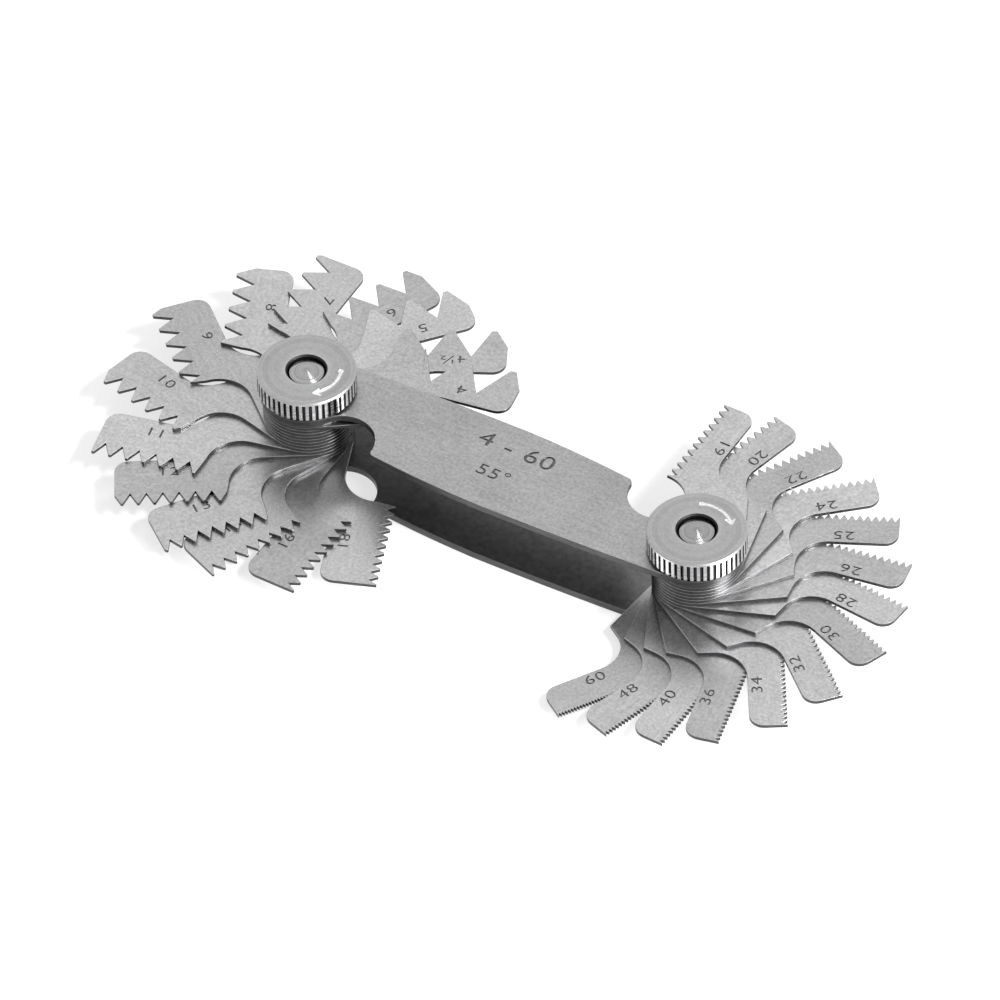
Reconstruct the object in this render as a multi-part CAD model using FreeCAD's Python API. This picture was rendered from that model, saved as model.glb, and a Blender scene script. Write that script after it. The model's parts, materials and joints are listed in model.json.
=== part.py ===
"""Thread pitch gauge: two flat case plates joined by a clamping pivot at each end, with a fan of
fourteen toothed leaves on each pivot.

Row frame, millimetres: +X runs from the left pivot to the right one, +Z is up, and the origin is the
centre of the case's underside.  Both ends are the same mechanism, half a turn apart.  Each leaf has its
own plane and is drawn with u along its blade, v across it and the pivot at (0, 0); it folds into the
case against the clock and is shown here swung out as a fan.
"""
import FreeCAD, Part
import math
import os
from FreeCAD import Vector

# ---- case -----------------------------------------------------------------------------------------
PIVOT_SPACING = 58.4        # centre to centre
PLATE_T = 1.0               # each of the two case plates
CASE_HALF_W = 7.33          # at mid length
CASE_HALF_W_QUARTER = 6.95  # half way from mid length to a plain end
CASE_END_R = 6.2            # round ends about the pivots
SCOOP_X = 8.75              # finger scoop's centre from its pivot, along the case
SCOOP_Y = 6.0               # and across it
LIP_HALF_W = 6.45           # half width where the scoop's lip meets the edge
LIP_R = 0.7                 # rounding of that lip

# ---- pivots ---------------------------------------------------------------------------------------
STUD_R = 2.5
STUD_HEAD_R = 3.6           # flush countersunk foot in the bottom plate
STUD_HEAD_T = 0.8
STUD_END_RISE = 0.3         # shallow cone turned on the stud's end
BORE_CLEARANCE = 0.05       # radial, of everything that turns on a stud
BOSS_R = 5.9                # round foot of a leaf, and its washer
WASHER_T = 0.48

# ---- lock nuts ------------------------------------------------------------------------------------
NUT_R = 6.5
NUT_H = 2.9                 # of the fluted part
NUT_COLLAR_R = 5.4          # bearing collar under it
NUT_COLLAR_H = 0.45
NUT_RIM_H = 0.35            # plain rim above the flutes
NUT_CHAMFER = 0.15
NUT_MOUTH = 0.2             # chamfer round the stud's end
FLUTES = 48
FLUTE_DEPTH = 0.3
FLUTE_FLOOR_SHARE = 0.2     # of the flute pitch
FLUTE_MOUTH_SHARE = 0.6

# ---- leaves ---------------------------------------------------------------------------------------
LEAF_T = 0.53
LEAF_GAP = 0.025            # sliding gap between any two faces in a stack
BLADE_BACK_V = 5.75         # the blade's plain back edge
COARSE_BLADE_W = 7.65       # back edge to tooth crests, 4 to 18 threads per inch
FINE_BLADE_W = 4.85         # the same, 19 to 60 threads per inch
BLADE_END_U = 25.4
BLADE_CORNER_R = 1.9
THROAT_U = 10.55            # where the hollow of the neck is deepest towards the tip
SHOULDER_RISE = 0.1         # straight above that hollow on a fine leaf
SHOULDER_LEAN = 0.2         # slope of the straight above the hollow
HEEL_U = 12.4
HEEL_V = -0.4
HEEL_R = 4.3                # hollow between heel and back edge
THREAD_ANGLE = 55.0         # Whitworth form
CREST_SHARE = 0.13          # crest flat, as a share of the pitch
INCH = 25.4

FOLDED_TURN = -28.0         # a folded blade's direction from the case's axis, left end

# threads per inch, opening from the folded place in degrees, and how much of a pitch lies outside the
# last crest; top leaf first
LEFT_LEAVES = [
    (4, 37.5, 0.30), (4.5, 55.5, 0.33), (5, 77.5, 0.42), (6, 93.0, 0.33), (7, 119.0, 0.15),
    (8, 140.5, 0.45), (9, 168.0, 0.32), (10, 195.0, 0.45), (11, 221.0, 0.10), (12, 240.5, 0.45),
    (13, 261.5, 0.15), (14, 276.0, 0.10), (16, 297.5, 0.10), (18, 319.0, 0.10)]
RIGHT_LEAVES = [
    (19, 298.0, 0.10), (20, 284.0, 0.10), (22, 267.0, 0.10), (24, 249.5, 0.10), (25, 234.0, 0.10),
    (26, 217.5, 0.10), (28, 203.0, 0.10), (30, 186.5, 0.10), (32, 167.5, 0.10), (34, 150.0, 0.10),
    (36, 131.0, 0.10), (40, 116.0, 0.10), (48, 100.5, 0.10), (60, 85.5, 0.10)]

# ---- heights and places that follow ---------------------------------------------------------------
LEAF_STEP = LEAF_T + LEAF_GAP
BORE_R = STUD_R + BORE_CLEARANCE
LEAF_COUNT = max(len(LEFT_LEAVES), len(RIGHT_LEAVES))
STACK_Z = PLATE_T + LEAF_GAP
WASHER_Z = STACK_Z + LEAF_COUNT * LEAF_STEP
TOP_PLATE_Z = WASHER_Z + WASHER_T + LEAF_GAP
NUT_Z = TOP_PLATE_Z + PLATE_T + LEAF_GAP
NUT_TOP_Z = NUT_Z + NUT_COLLAR_H + NUT_H
PIVOT_X = PIVOT_SPACING / 2
NECK_R = BLADE_BACK_V + FINE_BLADE_W - SHOULDER_RISE - BOSS_R
UP = Vector(0, 0, 1)


def half_turn(point):
    """The matching point at the other end of the case."""
    return Vector(-point.x, -point.y, point.z)


def line(a, b):
    return Part.LineSegment(a, b).toShape()


def arc(a, through, b):
    return Part.Arc(a, through, b).toShape()


def arc_about(centre, radius, start, end):
    """Arc from one angle to another, in degrees, the way the angles run."""
    def at(angle):
        turn = math.radians(angle)
        return centre + Vector(radius * math.cos(turn), radius * math.sin(turn), 0)
    return arc(at(start), at((start + end) / 2), at(end))


def slab(edges, thickness):
    """Flat plate from a closed row of edges."""
    return Part.Face(Part.Wire(edges)).extrude(Vector(0, 0, thickness))


def case_side():
    """One long edge of a case plate, from the scooped end to the plain end, with that end's round.

    It runs along the near side: left scoop, lip, bulging edge, then round the right pivot.
    """
    left_pivot = Vector(-PIVOT_X, 0, 0)
    right_pivot = Vector(PIVOT_X, 0, 0)
    scoop = left_pivot + Vector(SCOOP_X, -SCOOP_Y, 0)
    scoop_reach = math.hypot(SCOOP_X, SCOOP_Y)
    scoop_r = scoop_reach - CASE_END_R
    scoop_turn = math.degrees(math.atan2(SCOOP_Y, -SCOOP_X))
    meeting = left_pivot + (scoop - left_pivot) * (CASE_END_R / scoop_reach)
    lip_drop = (LIP_HALF_W - LIP_R) - SCOOP_Y
    lip = scoop + Vector(math.sqrt((scoop_r + LIP_R) ** 2 - lip_drop ** 2), -lip_drop, 0)
    lip_turn = math.degrees(math.atan2(-lip_drop, lip.x - scoop.x))
    lip_start = scoop + (lip - scoop) * (scoop_r / (scoop_r + LIP_R))
    lip_end = lip + Vector(0, -LIP_R, 0)
    middle = Vector(0, -CASE_HALF_W, 0)
    plain_end = right_pivot + Vector(0, -CASE_END_R, 0)
    edge_mid_y = -(CASE_HALF_W * 0.7 + LIP_HALF_W * 0.3)
    other_meeting = half_turn(meeting)
    end_turn = math.degrees(math.atan2(other_meeting.y, other_meeting.x - PIVOT_X))
    return [
        arc_about(scoop, scoop_r, scoop_turn, lip_turn),
        arc_about(lip, LIP_R, 180.0 + lip_turn, 270.0),
        arc(lip_end, Vector(lip_end.x / 2, edge_mid_y, 0), middle),
        arc(middle, Vector(plain_end.x / 2, -CASE_HALF_W_QUARTER, 0), plain_end),
        arc_about(right_pivot, CASE_END_R, -90.0, end_turn)]


def case_plate(z):
    """Case plate with a finger scoop by each pivot and the two pivot holes."""
    near = case_side()
    far = [edge.copy() for edge in near]
    for edge in far:
        edge.rotate(Vector(0, 0, 0), UP, 180)
    plate = slab(near + far, PLATE_T)
    plate.translate(Vector(0, 0, z))
    return plate


def bottom_plate():
    """Plate with a countersunk seat for each stud's foot."""
    plate = case_plate(0)
    for x in (-PIVOT_X, PIVOT_X):
        plate = plate.cut(stud_foot(x))
        plate = plate.cut(Part.makeCylinder(STUD_R, PLATE_T, Vector(x, 0, 0)))
    return plate


def top_plate():
    plate = case_plate(TOP_PLATE_Z)
    for x in (-PIVOT_X, PIVOT_X):
        plate = plate.cut(Part.makeCylinder(BORE_R, PLATE_T, Vector(x, 0, TOP_PLATE_Z)))
    return plate


def stud_foot(x):
    return Part.makeCone(STUD_HEAD_R, STUD_R, STUD_HEAD_T, Vector(x, 0, 0))


def pivot_stud(x):
    """Stud riveted flush into the bottom plate, its turned end level with the lock nut's face."""
    shoulder_z = NUT_TOP_Z - STUD_END_RISE
    shank = Part.makeCylinder(STUD_R, shoulder_z, Vector(x, 0, 0))
    end = Part.makeCone(STUD_R, 0, STUD_END_RISE, Vector(x, 0, shoulder_z))
    return shank.fuse(stud_foot(x)).fuse(end).removeSplitter()


def washer(x):
    disc = Part.makeCylinder(BOSS_R, WASHER_T, Vector(x, 0, WASHER_Z))
    return disc.cut(Part.makeCylinder(BORE_R, WASHER_T, Vector(x, 0, WASHER_Z)))


def flute_cutter():
    """One straight flute at +X, as high as the fluted part below its rim."""
    pitch = 2 * math.pi * NUT_R / FLUTES
    floor = pitch * FLUTE_FLOOR_SHARE / 2
    mouth = pitch * FLUTE_MOUTH_SHARE / 2
    floor_x = NUT_R - FLUTE_DEPTH
    outside_x = NUT_R + FLUTE_DEPTH
    outside = mouth * 2 - floor
    corners = [Vector(floor_x, -floor, 0), Vector(outside_x, -outside, 0),
               Vector(outside_x, outside, 0), Vector(floor_x, floor, 0)]
    profile = Part.makePolygon(corners + corners[:1])
    return Part.Face(profile).extrude(Vector(0, 0, NUT_H - NUT_RIM_H))


def lock_nut(x):
    """Round nut with straight flutes under a plain rim, on a collar that bears on the case plate.

    Its profile goes round from the foot of the bore to the collar, the fluted wall and the top face.
    """
    top = NUT_COLLAR_H + NUT_H
    section = [
        Vector(BORE_R, 0, 0), Vector(NUT_COLLAR_R, 0, 0), Vector(NUT_COLLAR_R, 0, NUT_COLLAR_H),
        Vector(NUT_R, 0, NUT_COLLAR_H), Vector(NUT_R, 0, top - NUT_CHAMFER),
        Vector(NUT_R - NUT_CHAMFER, 0, top), Vector(BORE_R + NUT_MOUTH, 0, top),
        Vector(BORE_R, 0, top - NUT_MOUTH)]
    nut = Part.Face(Part.makePolygon(section + section[:1])).revolve(Vector(0, 0, 0), UP, 360)
    cutters = []
    for i in range(FLUTES):
        cutter = flute_cutter()
        cutter.translate(Vector(0, 0, NUT_COLLAR_H))
        cutter.rotate(Vector(0, 0, 0), UP, 360.0 * i / FLUTES)
        cutters.append(cutter)
    nut = nut.cut(Part.makeCompound(cutters))
    nut.translate(Vector(x, 0, NUT_Z))
    return nut.Solids[0]


def leaf_outline(blade_w):
    """Closed outline of a leaf before its teeth are cut.

    The round foot runs into a straight neck and a hollow below the teeth; on the other side a straight
    leads out to the heel, which a fingertip pushes to swing the leaf out of the case.
    """
    crest_v = BLADE_BACK_V + blade_w
    neck = Vector(THROAT_U - NECK_R, BOSS_R + NECK_R, 0)
    throat = Vector(THROAT_U, neck.y, 0)
    shoulder = Vector(THROAT_U + SHOULDER_LEAN * (crest_v - neck.y), crest_v, 0)
    corner = Vector(BLADE_END_U - BLADE_CORNER_R, BLADE_BACK_V + BLADE_CORNER_R, 0)
    hollow = Vector(HEEL_U + HEEL_R, BLADE_BACK_V - HEEL_R, 0)
    heel = Vector(HEEL_U, HEEL_V, 0)
    heel_turn = math.degrees(math.atan2(HEEL_V, HEEL_U))
    tangent_turn = heel_turn - math.degrees(math.acos(BOSS_R / heel.Length))
    tangent = Vector(math.cos(math.radians(tangent_turn)), math.sin(math.radians(tangent_turn)), 0) * BOSS_R
    return [
        line(Vector(0, BOSS_R, 0), Vector(neck.x, BOSS_R, 0)),
        arc_about(neck, NECK_R, -90, 0),
        line(throat, shoulder),
        line(shoulder, Vector(BLADE_END_U, crest_v, 0)),
        line(Vector(BLADE_END_U, crest_v, 0), Vector(BLADE_END_U, corner.y, 0)),
        arc_about(corner, BLADE_CORNER_R, 0, -90),
        line(Vector(corner.x, BLADE_BACK_V, 0), Vector(hollow.x, BLADE_BACK_V, 0)),
        arc_about(hollow, HEEL_R, 90, 180),
        line(Vector(HEEL_U, hollow.y, 0), heel),
        line(heel, tangent),
        arc_about(Vector(0, 0, 0), BOSS_R, tangent_turn, -270)]


def tooth_cutter(pitch, crest_v, outside):
    """The comb-shaped waste between and beyond the teeth, one flat face.

    A groove has sharp roots and straight flanks; the crests keep a narrow flat.
    """
    flat = pitch * CREST_SHARE
    depth = (pitch - flat) / 2 / math.tan(math.radians(THREAD_ANGLE / 2))
    last_crest = BLADE_END_U - outside * pitch
    grooves = int(math.ceil((last_crest - THROAT_U) / pitch)) + 2
    first = last_crest - (grooves - 1) * pitch
    waste_v = crest_v + depth
    points = [Vector(first - flat / 2, waste_v, 0)]
    for i in range(grooves):
        crest = first + i * pitch
        points.append(Vector(crest - flat / 2, crest_v, 0))
        points.append(Vector(crest + flat / 2, crest_v, 0))
        points.append(Vector(crest + pitch / 2, crest_v - depth, 0))
    points.append(Vector(last_crest + pitch, crest_v, 0))
    points.append(Vector(last_crest + pitch, waste_v, 0))
    return Part.Face(Part.makePolygon(points + points[:1]))


def leaf(tpi, blade_w, outside):
    """One toothed leaf, flat on z = 0 with its bore at the origin."""
    crest_v = BLADE_BACK_V + blade_w
    blank = Part.Face(Part.Wire(leaf_outline(blade_w)))
    toothed = blank.cut(tooth_cutter(INCH / tpi, crest_v, outside))
    pieces = sorted(toothed.Faces, key=lambda face: face.Area)
    solid = pieces[-1].extrude(Vector(0, 0, LEAF_T))
    return solid.cut(Part.makeCylinder(BORE_R, LEAF_T))


def place_leaf(solid, index, x, turn):
    """Turn a leaf about its pivot and lift it to its place; index 0 is the top of the stack."""
    z = STACK_Z + (LEAF_COUNT - 1 - index) * LEAF_STEP
    solid.rotate(Vector(0, 0, 0), UP, turn)
    solid.translate(Vector(x, 0, z))
    return solid


def leaf_name(side, tpi):
    return "%s_leaf_%s_tpi" % (side, str(tpi).replace(".", "_"))


def build():
    nodes = {"bottom_plate": bottom_plate(), "top_plate": top_plate()}
    ends = (("left", -PIVOT_X, FOLDED_TURN, COARSE_BLADE_W, LEFT_LEAVES),
            ("right", PIVOT_X, FOLDED_TURN + 180, FINE_BLADE_W, RIGHT_LEAVES))
    for side, x, folded, blade_w, leaves in ends:
        nodes[side + "_pivot_stud"] = pivot_stud(x)
        nodes[side + "_spacer_washer"] = washer(x)
        nodes[side + "_lock_nut"] = lock_nut(x)
        for index, (tpi, opening, outside) in enumerate(leaves):
            solid = leaf(tpi, blade_w, outside)
            nodes[leaf_name(side, tpi)] = place_leaf(solid, index, x, folded + opening)
    return nodes


os.makedirs("parts", exist_ok=True)
for name, shape in build().items():
    shape.exportStep("parts/%s.step" % name)
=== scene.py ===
# %% [markdown]
# # A thread pitch gauge, dressed for a close look
# The gauge is two flat case plates with a clamping pivot at each end.  Fourteen thin toothed leaves fan
# out from each pivot, and a knurled lock nut squeezes them.  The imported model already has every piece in
# its place.  This script gives each piece the edges, engraving and metal finish that a hand would feel.

# %% Load the frame and keep its box
import json
import math
import bpy
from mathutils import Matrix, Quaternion, Vector

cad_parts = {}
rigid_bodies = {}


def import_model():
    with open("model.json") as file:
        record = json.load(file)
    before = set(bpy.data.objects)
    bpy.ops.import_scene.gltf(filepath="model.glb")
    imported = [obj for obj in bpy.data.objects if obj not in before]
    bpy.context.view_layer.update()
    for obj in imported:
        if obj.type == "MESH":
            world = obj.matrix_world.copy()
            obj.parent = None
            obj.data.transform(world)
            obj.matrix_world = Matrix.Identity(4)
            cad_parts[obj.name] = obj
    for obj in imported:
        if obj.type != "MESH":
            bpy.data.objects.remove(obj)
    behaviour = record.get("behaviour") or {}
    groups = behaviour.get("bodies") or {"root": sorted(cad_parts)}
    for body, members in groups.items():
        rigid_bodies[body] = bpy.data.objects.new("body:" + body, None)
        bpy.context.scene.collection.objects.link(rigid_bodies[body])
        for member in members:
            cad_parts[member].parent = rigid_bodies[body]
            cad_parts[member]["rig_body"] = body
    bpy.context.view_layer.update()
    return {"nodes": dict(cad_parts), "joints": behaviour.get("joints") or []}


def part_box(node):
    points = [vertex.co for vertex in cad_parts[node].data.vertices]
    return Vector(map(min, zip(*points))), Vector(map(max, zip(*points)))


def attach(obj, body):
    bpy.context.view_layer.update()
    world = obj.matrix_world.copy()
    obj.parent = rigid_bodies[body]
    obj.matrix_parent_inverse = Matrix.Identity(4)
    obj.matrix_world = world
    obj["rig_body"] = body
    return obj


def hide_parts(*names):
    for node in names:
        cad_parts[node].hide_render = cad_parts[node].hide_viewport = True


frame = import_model()
MM = 0.001

# %% [markdown]
# ## Where the pivots are
# Both ends are the same mechanism, half a turn apart, so most steps below run once per side.  Each pivot's
# place is read from its stud.  A leaf's direction is read from its joint: the joint's lower limit is how
# far the leaf still has to turn back to lie folded in the case.

# %% Pivots and leaf directions
SIDES = ("left", "right")
FOLDED_TURN = {"left": -28.0, "right": 152.0}


def pivot_of(side):
    low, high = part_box(side + "_pivot_stud")
    return Vector(((low.x + high.x) / 2, (low.y + high.y) / 2, 0))


PIVOT = {side: pivot_of(side) for side in SIDES}
OPENING = {joint["child"]: -joint["range_deg"][0] for joint in frame["joints"]}
LEAVES = sorted(name for name in frame["nodes"] if "_leaf_" in name)


def side_of(name):
    return name.split("_")[0]


def leaf_turn(name):
    """Direction of a leaf's blade, in radians about +Z."""
    return math.radians(FOLDED_TURN[side_of(name)] + OPENING[name])


def threads_per_inch(name):
    return float(name.split("_leaf_")[1].replace("_tpi", "").replace("_", "."))


print(len(LEAVES), "leaves; pivots at", [round(PIVOT[side].x / MM, 2) for side in SIDES], "mm")

# %% [markdown]
# ## The camera
# A small tool is drawn with little perspective, so the camera stands far off with a long lens.  It looks
# down at nearly half a right angle, from the front right, and is rolled a little, as a hand-held one is.

# %% Camera
CAMERA_AZIMUTH = math.radians(32.13)
CAMERA_ELEVATION = math.radians(45.6)
CAMERA_ROLL = math.radians(-1.83)
CAMERA_DISTANCE = 1.43
VIEW_WIDTH = 129.03 * MM
AIM_BACK = Vector((-0.23, -0.55, 0)) * MM     # right and up in the view

bpy.ops.object.select_all(action="DESELECT")
toward = Vector((math.sin(CAMERA_AZIMUTH) * math.cos(CAMERA_ELEVATION),
                 -math.cos(CAMERA_AZIMUTH) * math.cos(CAMERA_ELEVATION),
                 math.sin(CAMERA_ELEVATION)))
bpy.ops.object.camera_add()
camera = bpy.context.object
camera.rotation_mode = "QUATERNION"
level = (-toward).to_track_quat("-Z", "Y")
aim = Vector((0, 0, 5 * MM)) + level @ AIM_BACK
camera.location = aim + toward * CAMERA_DISTANCE
camera.rotation_quaternion = level @ Quaternion((0, 0, 1), CAMERA_ROLL)
camera.data.sensor_width = 36.0
camera.data.lens = 36.0 * CAMERA_DISTANCE / VIEW_WIDTH
camera.data.clip_start = 0.01
camera.data.clip_end = 20.0
bpy.context.scene.camera = camera
bpy.context.scene.view_settings.view_transform = "Standard"
print("lens", round(camera.data.lens, 1), "mm")

# %% [markdown]
# ## Floor and light
# Metal is drawn by what it reflects.  A pale room makes its flat faces even and light.  Two soft lamps from
# the right put the bright streaks on the round stacks and knurls, and a faint small one draws the wedge of
# light on the studs' cones.  The floor glows a little toward the camera and in reflections, so it looks
# white although it takes less light than the room gives.

# %% Node helpers
def link(tree, start, end):
    tree.links.new(start, end)


def new_tree(material):
    material.use_nodes = True
    material.node_tree.nodes.clear()
    return material.node_tree


def seen_ray(tree):
    """1 for rays that show a background: camera, glossy and transmitted ones."""
    path = tree.nodes.new("ShaderNodeLightPath")
    first = tree.nodes.new("ShaderNodeMath")
    first.operation = "MAXIMUM"
    second = tree.nodes.new("ShaderNodeMath")
    second.operation = "MAXIMUM"
    link(tree, path.outputs["Is Camera Ray"], first.inputs[0])
    link(tree, path.outputs["Is Glossy Ray"], first.inputs[1])
    link(tree, first.outputs[0], second.inputs[0])
    link(tree, path.outputs["Is Transmission Ray"], second.inputs[1])
    return second.outputs[0]


print("node helpers ready")

# %% Room
ROOM_FOR_LIGHT = 0.62
ROOM_SEEN = 1.0

world = bpy.data.worlds.new("pale_room")
bpy.context.scene.world = world
world.use_nodes = True
room = world.node_tree
room.nodes.clear()
strength = room.nodes.new("ShaderNodeMapRange")
strength.inputs["To Min"].default_value = ROOM_FOR_LIGHT
strength.inputs["To Max"].default_value = ROOM_SEEN
link(room, seen_ray(room), strength.inputs["Value"])
background = room.nodes.new("ShaderNodeBackground")
link(room, strength.outputs[0], background.inputs["Strength"])
background.inputs["Color"].default_value = (1, 1, 1, 1)
link(room, background.outputs[0], room.nodes.new("ShaderNodeOutputWorld").inputs["Surface"])
print("room strength", ROOM_FOR_LIGHT, "for light,", ROOM_SEEN, "where it is seen")

# %% Floor
FLOOR_SIZE = 4.0
FLOOR_Z = -0.1 * MM          # just under the gauge's rest face
FLOOR_TONE = 0.5
FLOOR_GLOW = 0.6             # keeps the floor near white and its shadows faint

bpy.ops.mesh.primitive_plane_add(size=FLOOR_SIZE, location=(0, 0, FLOOR_Z))
floor = bpy.context.object
floor.name = "pale_floor"
paper = bpy.data.materials.new("pale_paper")
tree = new_tree(paper)
matte = tree.nodes.new("ShaderNodeBsdfDiffuse")
matte.inputs["Color"].default_value = (FLOOR_TONE, FLOOR_TONE, FLOOR_TONE, 1)
glow = tree.nodes.new("ShaderNodeEmission")
glow_level = tree.nodes.new("ShaderNodeMath")
glow_level.operation = "MULTIPLY"
glow_level.inputs[1].default_value = FLOOR_GLOW
link(tree, seen_ray(tree), glow_level.inputs[0])
link(tree, glow_level.outputs[0], glow.inputs["Strength"])
both = tree.nodes.new("ShaderNodeAddShader")
link(tree, matte.outputs[0], both.inputs[0])
link(tree, glow.outputs[0], both.inputs[1])
link(tree, both.outputs[0], tree.nodes.new("ShaderNodeOutputMaterial").inputs["Surface"])
floor.data.materials.append(paper)
print("floor at", round(FLOOR_Z / MM, 2), "mm")

# %% Lamps
LAMP_DISTANCE = 0.7


def soft_lamp(name, azimuth, elevation, size, watts):
    """Square area lamp that faces the gauge; azimuth runs counterclockwise from +X, in degrees."""
    turn = math.radians(azimuth)
    rise = math.radians(elevation)
    outward = Vector((math.cos(turn) * math.cos(rise), math.sin(turn) * math.cos(rise), math.sin(rise)))
    bpy.ops.object.light_add(type="AREA", location=outward * LAMP_DISTANCE)
    lamp = bpy.context.object
    lamp.name = name
    lamp.rotation_mode = "QUATERNION"
    lamp.rotation_quaternion = outward.to_track_quat("Z", "Y")
    lamp.data.size = size
    lamp.data.energy = watts


soft_lamp("key_right", azimuth=6.0, elevation=50.0, size=0.14, watts=5.0)
soft_lamp("low_right", azimuth=-8.0, elevation=18.0, size=0.14, watts=6.0)
soft_lamp("stud_glint", azimuth=103.0, elevation=68.0, size=0.05, watts=0.08)
print("three lamps are set")

# %% [markdown]
# ## Metal finishes
# Rolled, ground and turned steel differ only in the direction of their scratches.  Three shader groups hold
# those patterns: one stretches noise along a direction, one wraps it round an axis, and one lays level
# streaks on upright edges.  Each puts out a shade, a roughness and a normal, so that the grain breaks up
# the reflection as the abrasive does on the real piece.  A second, broad noise stands for handling marks.

# %% Grain group frame
GRAIN_DEPTH = 0.03 * MM
HANDLED_SCALE = 90.0
HANDLED_SHADES = (0.84, 1.16)
GRAIN_INPUTS = {"Turn": 0.0, "Scale": 2500.0, "Dark": 0.3, "Light": 1.7, "Smooth": 0.3, "Rough": 0.45,
                "Depth": 0.3}


def add_node(tree, kind, **values):
    """Node with some of its inputs set by name."""
    node = tree.nodes.new(kind)
    for name, value in values.items():
        node.inputs[name.replace("_", " ")].default_value = value
    return node


def handled(tree, shade):
    """The shade, made a little darker or lighter in broad patches."""
    place = tree.nodes.new("ShaderNodeTexCoord")
    patches = add_node(tree, "ShaderNodeTexNoise", Scale=HANDLED_SCALE, Detail=2.0)
    link(tree, place.outputs["Object"], patches.inputs["Vector"])
    level = add_node(tree, "ShaderNodeMapRange", To_Min=HANDLED_SHADES[0], To_Max=HANDLED_SHADES[1])
    link(tree, patches.outputs["Fac"], level.inputs["Value"])
    product = tree.nodes.new("ShaderNodeMath")
    product.operation = "MULTIPLY"
    link(tree, shade, product.inputs[0])
    link(tree, level.outputs[0], product.inputs[1])
    return product.outputs[0]


def finish_outputs(tree, pattern, inlet):
    """Shade, roughness and normal that every grain group puts out, from one 0-to-1 pattern."""
    outlet = tree.nodes.new("NodeGroupOutput")
    shade = add_node(tree, "ShaderNodeMapRange")
    link(tree, pattern, shade.inputs["Value"])
    link(tree, inlet.outputs["Dark"], shade.inputs["To Min"])
    link(tree, inlet.outputs["Light"], shade.inputs["To Max"])
    link(tree, handled(tree, shade.outputs[0]), outlet.inputs["Shade"])
    rough = add_node(tree, "ShaderNodeMapRange")
    link(tree, pattern, rough.inputs["Value"])
    link(tree, inlet.outputs["Smooth"], rough.inputs["To Min"])
    link(tree, inlet.outputs["Rough"], rough.inputs["To Max"])
    link(tree, rough.outputs[0], outlet.inputs["Roughness"])
    bump = add_node(tree, "ShaderNodeBump", Distance=GRAIN_DEPTH)
    link(tree, inlet.outputs["Depth"], bump.inputs["Strength"])
    link(tree, pattern, bump.inputs["Height"])
    link(tree, bump.outputs[0], outlet.inputs["Normal"])


def grain_group(name, add_pattern):
    """Shader group with the usual finish inputs; add_pattern makes its 0-to-1 pattern."""
    tree = bpy.data.node_groups.new(name, "ShaderNodeTree")
    sockets = tree.interface
    sockets.new_socket(name="Centre", in_out="INPUT", socket_type="NodeSocketVector")
    for label, value in GRAIN_INPUTS.items():
        sockets.new_socket(name=label, in_out="INPUT", socket_type="NodeSocketFloat").default_value = value
    sockets.new_socket(name="Shade", in_out="OUTPUT", socket_type="NodeSocketFloat")
    sockets.new_socket(name="Roughness", in_out="OUTPUT", socket_type="NodeSocketFloat")
    sockets.new_socket(name="Normal", in_out="OUTPUT", socket_type="NodeSocketVector")
    inlet = tree.nodes.new("NodeGroupInput")
    place = tree.nodes.new("ShaderNodeTexCoord")
    about = add_node(tree, "ShaderNodeVectorMath")
    about.operation = "SUBTRACT"
    link(tree, place.outputs["Object"], about.inputs[0])
    link(tree, inlet.outputs["Centre"], about.inputs[1])
    finish_outputs(tree, add_pattern(tree, about.outputs[0], inlet), inlet)
    return tree


print("grain inputs:", ", ".join(GRAIN_INPUTS))

# %% Grain patterns
CLOUD_IN_STRAIGHT = 0.75     # share of fine cloudy grain; the rest is scratches
CLOUD_IN_TURNED = 0.35


def straight_pattern(tree, point, inlet):
    """Fine cloudy grain mixed with scratches that run along one direction."""
    turned = tree.nodes.new("ShaderNodeVectorRotate")
    turned.rotation_type = "Z_AXIS"
    link(tree, point, turned.inputs["Vector"])
    link(tree, inlet.outputs["Turn"], turned.inputs["Angle"])
    stretched = tree.nodes.new("ShaderNodeMapping")
    stretched.inputs["Scale"].default_value = (0.12, 1.0, 1.0)
    link(tree, turned.outputs[0], stretched.inputs["Vector"])
    scratches = add_node(tree, "ShaderNodeTexNoise", Detail=3.0, Roughness=0.6)
    link(tree, stretched.outputs[0], scratches.inputs["Vector"])
    link(tree, inlet.outputs["Scale"], scratches.inputs["Scale"])
    cloud = add_node(tree, "ShaderNodeTexNoise", Detail=4.0, Roughness=0.65)
    link(tree, point, cloud.inputs["Vector"])
    link(tree, inlet.outputs["Scale"], cloud.inputs["Scale"])
    both = tree.nodes.new("ShaderNodeMix")
    both.inputs["Factor"].default_value = CLOUD_IN_STRAIGHT
    link(tree, scratches.outputs["Fac"], both.inputs["A"])
    link(tree, cloud.outputs["Fac"], both.inputs["B"])
    return both.outputs["Result"]


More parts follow.
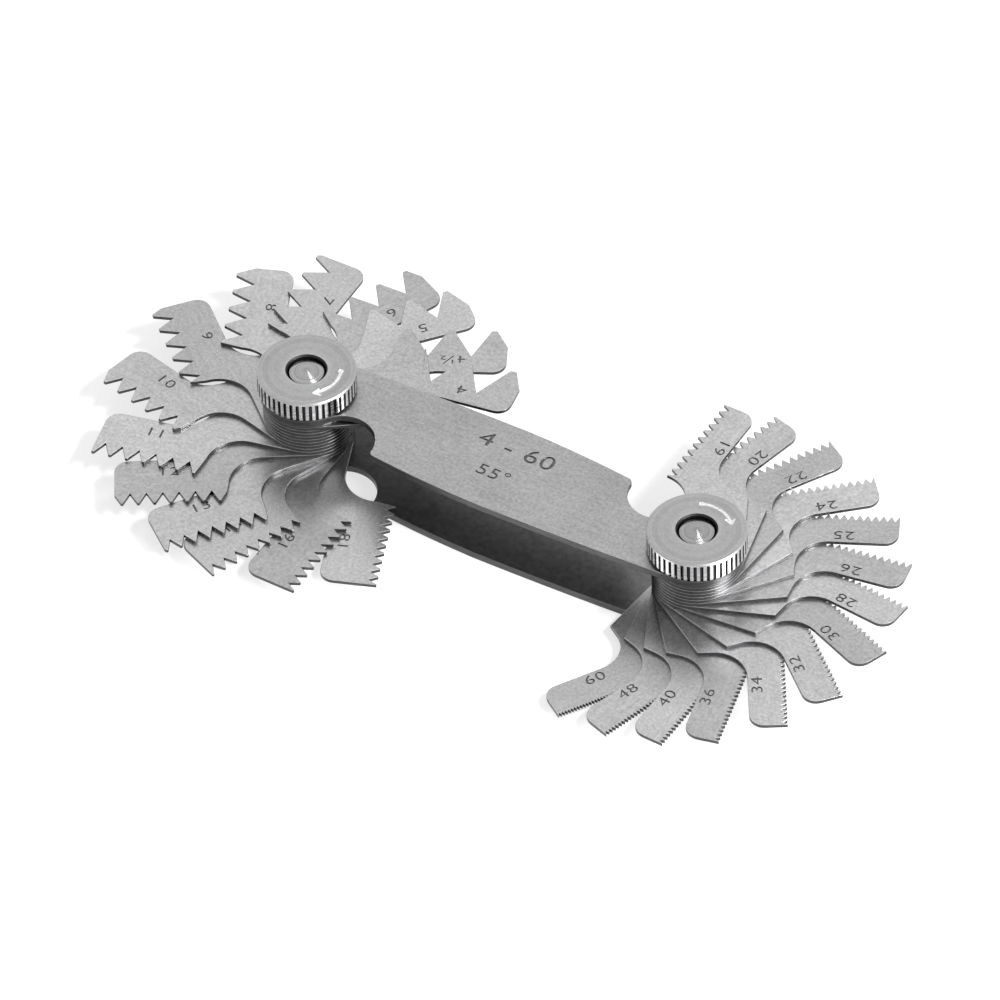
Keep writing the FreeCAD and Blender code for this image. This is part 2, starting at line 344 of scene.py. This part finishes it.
def turned_pattern(tree, point, inlet):
    """Rings round the axis through the centre, as a lathe tool leaves."""
    split = tree.nodes.new("ShaderNodeSeparateXYZ")
    link(tree, point, split.inputs[0])
    flat = tree.nodes.new("ShaderNodeCombineXYZ")
    link(tree, split.outputs["X"], flat.inputs["X"])
    link(tree, split.outputs["Y"], flat.inputs["Y"])
    radius = tree.nodes.new("ShaderNodeVectorMath")
    radius.operation = "LENGTH"
    link(tree, flat.outputs[0], radius.inputs[0])
    along = tree.nodes.new("ShaderNodeCombineXYZ")
    link(tree, radius.outputs["Value"], along.inputs["X"])
    link(tree, split.outputs["Z"], along.inputs["Y"])
    rings = add_node(tree, "ShaderNodeTexNoise", Detail=3.0, Roughness=0.6)
    link(tree, along.outputs[0], rings.inputs["Vector"])
    link(tree, inlet.outputs["Scale"], rings.inputs["Scale"])
    cloud = add_node(tree, "ShaderNodeTexNoise", Detail=4.0, Roughness=0.65)
    link(tree, point, cloud.inputs["Vector"])
    link(tree, inlet.outputs["Scale"], cloud.inputs["Scale"])
    both = tree.nodes.new("ShaderNodeMix")
    both.inputs["Factor"].default_value = CLOUD_IN_TURNED
    link(tree, rings.outputs["Fac"], both.inputs["A"])
    link(tree, cloud.outputs["Fac"], both.inputs["B"])
    return both.outputs["Result"]


def edge_pattern(tree, point, inlet):
    """Short level streaks on an upright edge, as blanking and tumbling leave them."""
    streaks = tree.nodes.new("ShaderNodeMapping")
    streaks.inputs["Scale"].default_value = (0.07, 0.07, 1.0)
    link(tree, point, streaks.inputs["Vector"])
    noise = add_node(tree, "ShaderNodeTexNoise", Detail=2.0, Roughness=0.5)
    link(tree, streaks.outputs[0], noise.inputs["Vector"])
    link(tree, inlet.outputs["Scale"], noise.inputs["Scale"])
    return noise.outputs["Fac"]


STRAIGHT_GRAIN = grain_group("straight_grain", straight_pattern)
TURNED_GRAIN = grain_group("turned_grain", turned_pattern)
EDGE_GRAIN = grain_group("edge_grain", edge_pattern)
print("grain groups:", STRAIGHT_GRAIN.name, TURNED_GRAIN.name, EDGE_GRAIN.name)

# %% Metal from a grain group
def metal(name, grain, tone, centre=(0, 0, 0), turn=0.0, **finish):
    """Bare metal of one grey tone, shaded by a grain group; finish sets the group's inputs by name."""
    material = bpy.data.materials.new(name)
    tree = new_tree(material)
    group = tree.nodes.new("ShaderNodeGroup")
    group.node_tree = grain
    group.inputs["Centre"].default_value = centre
    group.inputs["Turn"].default_value = turn
    for key, value in finish.items():
        group.inputs[key].default_value = value
    colour = tree.nodes.new("ShaderNodeMix")
    colour.data_type = "RGBA"
    colour.blend_type = "MULTIPLY"
    colour.inputs["Factor"].default_value = 1.0
    colour.inputs["A"].default_value = (tone, tone, tone * 1.01, 1)
    link(tree, group.outputs["Shade"], colour.inputs["B"])
    shader = tree.nodes.new("ShaderNodeBsdfPrincipled")
    shader.inputs["Metallic"].default_value = 1.0
    link(tree, colour.outputs["Result"], shader.inputs["Base Color"])
    link(tree, group.outputs["Roughness"], shader.inputs["Roughness"])
    link(tree, group.outputs["Normal"], shader.inputs["Normal"])
    link(tree, shader.outputs[0], tree.nodes.new("ShaderNodeOutputMaterial").inputs["Surface"])
    return material


PLATE_FACE = metal("plate_satin_chrome", STRAIGHT_GRAIN, 0.39, Scale=2600.0, Smooth=0.26, Rough=0.42)
# Inner plate faces: the dark tone is painted shade for the space between the plates.
PLATE_INSIDE_SHADE = metal("plate_inside_dull", STRAIGHT_GRAIN, 0.16, Scale=1500.0, Smooth=0.22, Rough=0.42)
# Upright plate edges: the dark tone is painted shade for the dark surroundings they reflect.
PLATE_EDGE_SHADE = metal("plate_edge", EDGE_GRAIN, 0.085, Scale=9000.0, Smooth=0.22, Rough=0.4, Depth=0.6)
# Upright leaf edges: the dark tone is painted shade for the dark surroundings they reflect.
LEAF_EDGE_SHADE = metal("leaf_blanked_edge", EDGE_GRAIN, 0.08, Scale=9000.0, Smooth=0.2, Rough=0.36, Depth=1.0)
# Stamped recesses: the darker tone is painted shade in the recess.
STAMPED_SHADE = metal("stamped_recess", STRAIGHT_GRAIN, 0.13, Scale=3000.0, Smooth=0.2, Rough=0.36)
# Arrow cut: the near-white tone is a painted highlight.
ARROW_CUT_HIGHLIGHT = metal("arrow_cut_bright", STRAIGHT_GRAIN, 0.9, Scale=3000.0, Smooth=0.12, Rough=0.25)
# Nut bore and mouth: the near-black tone is painted shade in the hole.
SHADOWED = metal("nut_bore_dark", STRAIGHT_GRAIN, 0.03, Scale=3000.0, Smooth=0.4, Rough=0.6)
print("plate and leaf metals made")

# %% [markdown]
# ## Working in edit mode without a mouse
# Operators act on what is selected.  These helpers pick one object, choose vertices or faces by their
# place, and leave the finished piece at the origin, unturned, with its place in its mesh.

# %% Selection helpers
NEAR = 0.01 * MM             # how close a place has to be to count as there
SAME_PLACE = 0.0005 * MM
SMOOTH_ANGLE = math.radians(15)
FLAT_ANGLE = math.radians(0.3)


def only(piece):
    if bpy.context.mode != "OBJECT":
        bpy.ops.object.mode_set(mode="OBJECT")
    bpy.ops.object.select_all(action="DESELECT")
    piece.select_set(True)
    bpy.context.view_layer.objects.active = piece


def edit(piece, kind="VERT"):
    only(piece)
    bpy.ops.object.mode_set(mode="EDIT")
    bpy.ops.mesh.select_mode(type=kind)


def done():
    bpy.ops.object.mode_set(mode="OBJECT")


def select_where(piece, test, kind="VERT"):
    """Select the vertices, edges or faces that pass a test, and stay in edit mode."""
    edit(piece, kind)
    bpy.ops.mesh.select_all(action="DESELECT")
    done()
    parts = {"VERT": piece.data.vertices, "EDGE": piece.data.edges, "FACE": piece.data.polygons}[kind]
    for part in parts:
        part.select = test(part)
    bpy.ops.object.mode_set(mode="EDIT")


def apply_all(piece):
    only(piece)
    for modifier in list(piece.modifiers):
        bpy.ops.object.modifier_apply(modifier=modifier.name)


def place_in_mesh(piece):
    only(piece)
    bpy.ops.object.transform_apply(location=True, rotation=True, scale=True)


def merged_copy(node, name):
    """New piece with a CAD node's shape, its loose triangles joined into flat faces."""
    piece = bpy.data.objects.new(name, frame["nodes"][node].data.copy())
    bpy.context.scene.collection.objects.link(piece)
    piece.data.materials.clear()
    edit(piece)
    bpy.ops.mesh.select_all(action="SELECT")
    bpy.ops.mesh.remove_doubles(threshold=SAME_PLACE)
    bpy.ops.mesh.customdata_custom_splitnormals_clear()
    bpy.ops.mesh.dissolve_limited(angle_limit=FLAT_ANGLE)
    done()
    return piece


def finish_piece(piece, node):
    """Hand a finished piece to the frame: it rides with its node's body and stands for the node."""
    only(piece)
    bpy.ops.object.shade_smooth_by_angle(angle=SMOOTH_ANGLE)
    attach(piece, frame["nodes"][node]["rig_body"])
    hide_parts(node)


def cut_away(piece, cutter):
    """Boolean difference that removes its cutter afterwards."""
    tool = piece.modifiers.new("cut", "BOOLEAN")
    tool.operation = "DIFFERENCE"
    tool.solver = "EXACT"
    tool.material_mode = "TRANSFER"
    tool.object = cutter
    apply_all(piece)
    bpy.data.objects.remove(cutter)


print("helpers ready")

# %% [markdown]
# ## Broken edges
# A blanked steel part always has its sharp edges taken off, and that narrow band is what catches the
# light.  The bevel follows a weight on each edge, so only the rims of the flat faces get one.

# %% Edge break
def is_level(face):
    """True for a flat top or bottom face, false for an upright one."""
    return abs(face.normal.z) > 0.5


def flat_rims(piece):
    """Edges between a flat face and an upright one."""
    level = {}
    for face in piece.data.polygons:
        for key in face.edge_keys:
            level.setdefault(key, []).append(is_level(face))
    return {key for key, sides in level.items() if len(sides) == 2 and sides[0] != sides[1]}


def break_edges(piece, width, weigh=lambda midpoint: 1.0, segments=2):
    rims = flat_rims(piece)
    points = piece.data.vertices
    weights = piece.data.attributes.new("bevel_weight_edge", "FLOAT", "EDGE")
    for edge in piece.data.edges:
        if edge.key in rims:
            midpoint = (points[edge.vertices[0]].co + points[edge.vertices[1]].co) / 2
            weights.data[edge.index].value = weigh(midpoint)
    bevel = piece.modifiers.new("edge_break", "BEVEL")
    bevel.limit_method = "WEIGHT"
    bevel.width = width
    bevel.segments = segments
    bevel.use_clamp_overlap = False
    bevel.harden_normals = False
    apply_all(piece)


print("edge break ready")

# %% [markdown]
# ## Stamped marks
# A stamp pushes metal aside and leaves a shallow recess with steep walls.  Text made into a thin solid and
# taken away from the surface gives the same recess, and its floor and walls get a darker tone, painted
# shade for the shade inside the recess.

# %% Stamping
STAMP_DEPTH = 0.1 * MM
FIGURE_SHARE = 0.72          # height of a figure over the size of its type
TEXT_DOUBLES = 0.001 * MM


def text_cutter(words, height, place, turn, wide=1.35, spaced=1.08):
    """Solid figures of the given height that reach a little above the face at place."""
    bpy.ops.object.select_all(action="DESELECT")
    bpy.ops.object.text_add(location=place, rotation=(0, 0, turn))
    letters = bpy.context.object
    letters.scale = (wide, 1, 1)
    letters.data.space_character = spaced
    letters.data.body = words
    letters.data.align_x = "CENTER"
    letters.data.align_y = "CENTER"
    letters.data.size = height / FIGURE_SHARE
    letters.data.extrude = STAMP_DEPTH
    letters.data.resolution_u = 4
    bpy.ops.object.convert(target="MESH")
    letters = bpy.context.object
    place_in_mesh(letters)
    # The cut faces take this painted shade.
    letters.data.materials.append(STAMPED_SHADE)
    edit(letters)
    bpy.ops.mesh.select_all(action="SELECT")
    bpy.ops.mesh.remove_doubles(threshold=TEXT_DOUBLES)
    bpy.ops.mesh.normals_make_consistent(inside=False)
    done()
    return letters


print("stamps are", round(STAMP_DEPTH / MM, 2), "mm deep")

# %% [markdown]
# ## The toothed leaves
# Each leaf is blanked from ground sheet, so its faces are light and finely scratched.  Its upright edges
# get a dark tone, painted shade for the dark surroundings they reflect.  The number of threads per inch is
# stamped near the root of the blade and reads toward the pivot.  The scratches turn with the leaf, as the
# sheet was ground before the leaf was fitted.

# %% Leaves
LEAF_BREAK = 0.08 * MM
BLADE_ROOT_U = 10.6 * MM     # the teeth lie beyond these two lines
BLADE_ROOT_V = 9.0 * MM
TOOTH_BREAK_SHARE = 0.05     # edge break on a tooth over the thread's pitch
LEAF_TONE = 0.49
LEAF_TONE_SPREAD = 0.05
NUMBER_U = 18.35 * MM
NUMBER_V = {"left": 7.95 * MM, "right": 7.0 * MM}
NUMBER_HEIGHT = 1.5 * MM


def leaf_label(name):
    count = threads_per_inch(name)
    return "%d" % count + ("½" if count % 1 else "")


def on_leaf(name, u, v, z):
    """A place given along and across a leaf, in the frame."""
    turn = leaf_turn(name)
    x = u * math.cos(turn) - v * math.sin(turn)
    y = u * math.sin(turn) + v * math.cos(turn)
    return PIVOT[side_of(name)] + Vector((x, y, z))


def dress_leaf(name, tone):
    piece = merged_copy(name, name.replace("_tpi", "_dressed"))
    turn = leaf_turn(name)
    pivot = PIVOT[side_of(name)]
    pitch = 25.4 * MM / threads_per_inch(name)
    face = metal(name + "_ground", STRAIGHT_GRAIN, tone, centre=pivot, turn=-turn,
                 Scale=2600.0, Smooth=0.26, Rough=0.4)
    piece.data.materials.append(face)
    piece.data.materials.append(LEAF_EDGE_SHADE)
    # Upright faces take the dark edge metal, the painted shade.
    for polygon in piece.data.polygons:
        polygon.material_index = 0 if is_level(polygon) else 1

    def weigh(midpoint):
        local = midpoint - pivot
        v = -local.x * math.sin(turn) + local.y * math.cos(turn)
        u = local.x * math.cos(turn) + local.y * math.sin(turn)
        toothed = v > BLADE_ROOT_V and u > BLADE_ROOT_U
        return min(1.0, TOOTH_BREAK_SHARE * pitch / LEAF_BREAK) if toothed else 1.0

    break_edges(piece, LEAF_BREAK, weigh)
    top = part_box(name)[1].z
    where = on_leaf(name, NUMBER_U, NUMBER_V[side_of(name)], top)
    cut_away(piece, text_cutter(leaf_label(name), NUMBER_HEIGHT, where, turn + math.pi))
    finish_piece(piece, name)


for index, name in enumerate(LEAVES):
    dress_leaf(name, LEAF_TONE + LEAF_TONE_SPREAD * math.sin(index * 2.3))
print("dressed", len(LEAVES), "leaves")

# %% [markdown]
# ## The case plates
# The plates are satin chromed outside; their inner faces get a much darker tone, painted shade for the
# shaded space between the plates.  The middle of the top plate carries the range of the gauge as plain
# numbers, stamped like those on the leaves.

# %% Case plates
PLATE_BREAK = 0.1 * MM
RANGE_HEIGHT = 2.5 * MM
RANGE_PLACE = Vector((0.4, 3.4, 0)) * MM
ANGLE_HEIGHT = 1.9 * MM
ANGLE_PLACE = Vector((-0.2, -1.6, 0)) * MM


def dress_plate(node, inside_up):
    piece = merged_copy(node, node + "_dressed")
    for material in (PLATE_FACE, PLATE_EDGE_SHADE, PLATE_INSIDE_SHADE):
        piece.data.materials.append(material)
    for polygon in piece.data.polygons:
        if is_level(polygon):
            # Inner flat faces take the painted shade.
            polygon.material_index = 2 if (polygon.normal.z > 0) == inside_up else 0
        else:
            # Upright faces take the painted shade of the edges.
            polygon.material_index = 1
    break_edges(piece, PLATE_BREAK)
    return piece


bottom = dress_plate("bottom_plate", True)
finish_piece(bottom, "bottom_plate")
top = dress_plate("top_plate", False)
top_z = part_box("top_plate")[1].z
face = Vector((0, 0, top_z))
cut_away(top, text_cutter("4 - 60", RANGE_HEIGHT, face + RANGE_PLACE, 0.0, wide=1.25))
cut_away(top, text_cutter("55°", ANGLE_HEIGHT, face + ANGLE_PLACE, 0.0, wide=1.25))
finish_piece(top, "top_plate")
print("dressed both plates")

# %% [markdown]
# ## Lock nuts
# The nut is turned from bar, knurled with straight flutes under a plain rim, and stands on a narrow
# collar.  It starts as an open cylinder with six edges per flute; two of them are drawn in to make the
# flute, and the rim, face, mouth, bore and collar follow by extruding one ring after another.

# %% Nut sizes
FLUTES = 48
FLUTE_FLOOR = 6.2 * MM
NUT_RADIUS = 6.5 * MM
RIM_HEIGHT = 0.35 * MM
RIM_CHAMFER = 0.15 * MM
COLLAR_RADIUS = 5.4 * MM
COLLAR_HEIGHT = 0.45 * MM
NUT_BORE = 2.55 * MM
NUT_MOUTH = 0.2 * MM
EDGES_PER_FLUTE = 6
FLUTE_EDGES = (4, 5)         # of those six, the two that are drawn in


def extrude_ring(rise, shrink, centre):
    """Extrude the selected ring up by rise, then scale it about the nut's axis."""
    bpy.ops.mesh.extrude_region_move(TRANSFORM_OT_translate={"value": (0, 0, rise)})
    if shrink != 1.0:
        bpy.ops.transform.resize(value=(shrink, shrink, 1), center_override=centre)


def ring_angle(point, centre, count):
    """Which of count equal steps round the axis a point stands at."""
    turn = math.atan2(point.y - centre.y, point.x - centre.x)
    return round(turn / (2 * math.pi) * count) % count


print("flute pitch, mm:", round(2 * math.pi * NUT_RADIUS / FLUTES / MM, 2))

# %% [markdown]
# A curved arrow on each nut shows which way it loosens.  It is cut like the numbers, but its cut faces get a
# near-white tone, a painted highlight.  One cutter after another is taken away, because cutters that
# overlap would spoil each other.

# %% Arrow cutters
ARROW_RADIUS = 4.5 * MM
ARROW_WIDTH = 0.42 * MM
ARROW_START = {"left": 25.0, "right": 112.0}
ARROW_SWEEP = -72.0
ARROW_BARB = 1.1 * MM
ARROW_SPREAD = 32.0
BARB_SHARE = 0.7             # width of a barb over the shaft's
TAIL_SHARE = 0.85            # radius of the round tail over the shaft's width
ARC_SIDES = 180
DOT_SIDES = 24


def raise_solid(flat):
    """Turn a flat cutter that lies at the recess's floor into a solid that reaches out of the face."""
    edit(flat)
    bpy.ops.mesh.select_all(action="SELECT")
    bpy.ops.mesh.extrude_region_move(TRANSFORM_OT_translate={"value": (0, 0, 2 * STAMP_DEPTH)})
    bpy.ops.mesh.select_all(action="SELECT")
    bpy.ops.mesh.normals_make_consistent(inside=False)
    done()
    # The cut faces take the near-white painted highlight.
    flat.data.materials.append(ARROW_CUT_HIGHLIGHT)
    return flat


def arc_cutter(centre, floor_z, start, sweep):
    """The arrow's curved shaft: part of a circle, widened to a band.  Angles in degrees."""
    inner = ARROW_RADIUS - ARROW_WIDTH / 2
    bpy.ops.object.select_all(action="DESELECT")
    bpy.ops.mesh.primitive_circle_add(vertices=ARC_SIDES, radius=inner, fill_type="NOTHING",
                                      location=(centre.x, centre.y, floor_z))
    shaft = bpy.context.object
    place_in_mesh(shaft)

    def outside(vertex):
        turn = math.degrees(math.atan2(vertex.co.y - centre.y, vertex.co.x - centre.x))
        return (start - turn) % 360 > -sweep

    select_where(shaft, outside)
    bpy.ops.mesh.delete(type="VERT")
    bpy.ops.mesh.select_all(action="SELECT")
    extrude_ring(0, 1 + ARROW_WIDTH / inner, centre)
    done()
    return raise_solid(shaft)


def bar_cutter(start, end, width):
    """A straight groove between two places."""
    along = end - start
    bpy.ops.object.select_all(action="DESELECT")
    bpy.ops.mesh.primitive_plane_add(size=1.0, location=(start + end) / 2,
                                     rotation=(0, 0, math.atan2(along.y, along.x)))
    bar = bpy.context.object
    bar.scale = (along.length, width, 1)
    place_in_mesh(bar)
    return raise_solid(bar)


def dot_cutter(place, radius):
    bpy.ops.object.select_all(action="DESELECT")
    bpy.ops.mesh.primitive_circle_add(vertices=DOT_SIDES, radius=radius, fill_type="NGON", location=place)
    dot = bpy.context.object
    place_in_mesh(dot)
    return raise_solid(dot)


def stamp_arrow(nut, side, face_z):
    """Curved arrow with an open head: shaft, two barbs and a round tail, cut one after another."""
    centre = PIVOT[side] + Vector((0, 0, face_z - STAMP_DEPTH))

    def on_ring(angle):
        turn = math.radians(angle)
        return centre + Vector((math.cos(turn), math.sin(turn), 0)) * ARROW_RADIUS

    head = ARROW_START[side] + ARROW_SWEEP
    tip = on_ring(head)
    cut_away(nut, arc_cutter(PIVOT[side], centre.z, ARROW_START[side], ARROW_SWEEP))
    for spread in (-ARROW_SPREAD, ARROW_SPREAD):
        back = math.radians(head + 90 + spread)
        barb = tip + Vector((math.cos(back), math.sin(back), 0)) * ARROW_BARB
        cut_away(nut, bar_cutter(tip, barb, ARROW_WIDTH * BARB_SHARE))
    cut_away(nut, dot_cutter(on_ring(ARROW_START[side]), ARROW_WIDTH * TAIL_SHARE))


print("arrow radius, mm:", round(ARROW_RADIUS / MM, 2))

# %% Nut metals
def nut_metals(side):
    """Face; knurl tops near white, a painted highlight; flutes and bore dark, painted shade."""
    name = side + "_nut_"
    centre = PIVOT[side]
    face = metal(name + "turned", TURNED_GRAIN, 0.40, centre=centre, Scale=2600.0, Smooth=0.3, Rough=0.44)
    # Knurl tops: the near-white tone is a painted highlight.
    lands = metal(name + "lands", EDGE_GRAIN, 0.8, centre=centre, Scale=6000.0, Smooth=0.16, Rough=0.34)
    # Flutes: the dark tone is painted shade in the grooves.
    flutes = metal(name + "flutes", EDGE_GRAIN, 0.07, centre=centre, Scale=6000.0, Smooth=0.25, Rough=0.4)
    return face, lands, flutes, SHADOWED


def nut_part(polygon, radius, foot, flute_top):
    """Which of the nut's metals a face has, by its place and normal."""
    if radius < NUT_BORE + NUT_MOUTH + NEAR:
        return 3
    if polygon.normal.z > 0.3 and polygon.center.z > flute_top + NEAR:
        return 0
    upright = abs(polygon.normal.z) < 0.3
    if upright and polygon.center.z > foot and radius > NUT_RADIUS - 0.05 * MM:
        return 1
    return 2


print("nut metals ready")

# %% Lock nuts
def make_lock_nut(side):
    node = side + "_lock_nut"
    low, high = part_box(node)
    centre = PIVOT[side]
    foot = low.z + COLLAR_HEIGHT
    flute_top = high.z - RIM_HEIGHT
    around = FLUTES * EDGES_PER_FLUTE
    bpy.ops.object.select_all(action="DESELECT")
    bpy.ops.mesh.primitive_cylinder_add(vertices=around, radius=NUT_RADIUS, depth=flute_top - foot,
                                        end_fill_type="NOTHING",
                                        location=(centre.x, centre.y, (foot + flute_top) / 2))
    nut = bpy.context.object
    nut.name = side + "_lock_nut_knurled"
    place_in_mesh(nut)

    def in_flute(point):
        return ring_angle(point, centre, around) % EDGES_PER_FLUTE in FLUTE_EDGES

    def radius_of(point):
        return math.hypot(point.x - centre.x, point.y - centre.y)

    select_where(nut, lambda vertex: in_flute(vertex.co))
    draw_in = FLUTE_FLOOR / NUT_RADIUS
    bpy.ops.transform.resize(value=(draw_in, draw_in, 1), center_override=centre)
    select_where(nut, lambda vertex: vertex.co.z > flute_top - NEAR)
    bpy.ops.mesh.extrude_region_move(TRANSFORM_OT_translate={"value": (0, 0, 0)})
    done()
    chosen = {v.index for v in nut.data.vertices if v.select and in_flute(v.co)}
    select_where(nut, lambda vertex: vertex.index in chosen)
    bpy.ops.transform.resize(value=(1 / draw_in, 1 / draw_in, 1), center_override=centre)
    bpy.ops.mesh.select_all(action="SELECT")
    bpy.ops.mesh.remove_doubles(threshold=SAME_PLACE)
    done()
    select_where(nut, lambda v: v.co.z > flute_top - NEAR and radius_of(v.co) > NUT_RADIUS - 2 * NEAR)
    face_radius = NUT_RADIUS - RIM_CHAMFER
    extrude_ring(RIM_HEIGHT - RIM_CHAMFER, 1.0, centre)
    extrude_ring(RIM_CHAMFER, face_radius / NUT_RADIUS, centre)
    extrude_ring(0, (NUT_BORE + NUT_MOUTH) / face_radius, centre)
    extrude_ring(-NUT_MOUTH, NUT_BORE / (NUT_BORE + NUT_MOUTH), centre)
    extrude_ring(low.z - high.z + NUT_MOUTH, 1.0, centre)
    extrude_ring(0, COLLAR_RADIUS / NUT_BORE, centre)
    extrude_ring(COLLAR_HEIGHT, 1.0, centre)
    done()
    select_where(nut, lambda v: abs(v.co.z - foot) < NEAR)
    bpy.ops.mesh.bridge_edge_loops()
    bpy.ops.mesh.select_all(action="SELECT")
    bpy.ops.mesh.normals_make_consistent(inside=False)
    done()
    for material in nut_metals(side):
        nut.data.materials.append(material)
    for polygon in nut.data.polygons:
        polygon.material_index = nut_part(polygon, radius_of(polygon.center), foot, flute_top)
    stamp_arrow(nut, side, high.z)
    finish_piece(nut, node)


for side in SIDES:
    make_lock_nut(side)
print("made both lock nuts,", FLUTES, "flutes each")

# %% [markdown]
# ## Pivot studs and washers
# The stud's end lies level with the nut's face.  It is chamfered and turned to a flat cone, with the fine
# rings that a lathe tool leaves.  A turned cone throws a wedge of light; the stud's other faces get a dark
# tone, painted shade.

# %% Studs and washers
STUD_RADIUS = 2.5 * MM
STUD_FOOT_RADIUS = 3.6 * MM
STUD_FOOT_HEIGHT = 0.8 * MM
STUD_END_RADIUS = 2.25 * MM
STUD_CHAMFER = 0.25 * MM
STUD_CONE = 0.5 * MM
CONE_RINGS = 9
STUD_SIDES = 96


def make_stud(side):
    node = side + "_pivot_stud"
    low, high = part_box(node)
    centre = PIVOT[side]
    straight_top = high.z - STUD_CONE - STUD_CHAMFER
    bpy.ops.object.select_all(action="DESELECT")
    bpy.ops.mesh.primitive_cylinder_add(vertices=STUD_SIDES, radius=STUD_RADIUS, end_fill_type="NGON",
                                        depth=straight_top - STUD_FOOT_HEIGHT,
                                        location=(centre.x, centre.y, (straight_top + STUD_FOOT_HEIGHT) / 2))
    stud = bpy.context.object
    stud.name = side + "_pivot_stud_turned"
    place_in_mesh(stud)
    select_where(stud, lambda face: face.normal.z > 0.9, "FACE")
    extrude_ring(STUD_CHAMFER, STUD_END_RADIUS / STUD_RADIUS, centre)
    for ring in range(CONE_RINGS - 1):
        extrude_ring(STUD_CONE / CONE_RINGS, (CONE_RINGS - ring - 1) / (CONE_RINGS - ring), centre)
    bpy.ops.mesh.extrude_region_move(TRANSFORM_OT_translate={"value": (0, 0, STUD_CONE / CONE_RINGS)})
    bpy.ops.mesh.merge(type="CENTER")
    done()
    select_where(stud, lambda face: face.normal.z < -0.9, "FACE")
    extrude_ring(-STUD_FOOT_HEIGHT, STUD_FOOT_RADIUS / STUD_RADIUS, centre)
    bpy.ops.mesh.select_all(action="SELECT")
    bpy.ops.mesh.normals_make_consistent(inside=False)
    done()
    stud.data.materials.append(metal(side + "_stud_cone", TURNED_GRAIN, 0.36, centre=centre, Scale=4200.0,
                                     Smooth=0.08, Rough=0.18, Depth=0.5))
    # Faces other than the cone: the dark tone is painted shade.
    stud.data.materials.append(metal(side + "_stud_flank", EDGE_GRAIN, 0.07, centre=centre, Scale=9000.0,
                                     Smooth=0.16, Rough=0.3, Depth=1.0))
    for polygon in stud.data.polygons:
        polygon.material_index = 0 if polygon.normal.z > 0.9 else 1
    finish_piece(stud, node)


WASHER_BREAK = 0.05 * MM


def dress_washer(side):
    node = side + "_spacer_washer"
    piece = merged_copy(node, node + "_dressed")
    # The dark tone is painted shade of the pivot stack, like the leaf edges.
    piece.data.materials.append(metal(side + "_washer_steel", EDGE_GRAIN, 0.12, centre=PIVOT[side],
                                      Scale=9000.0, Smooth=0.2, Rough=0.34))
    break_edges(piece, WASHER_BREAK)
    finish_piece(piece, node)


for side in SIDES:
    make_stud(side)
    dress_washer(side)
print("made studs and washers")
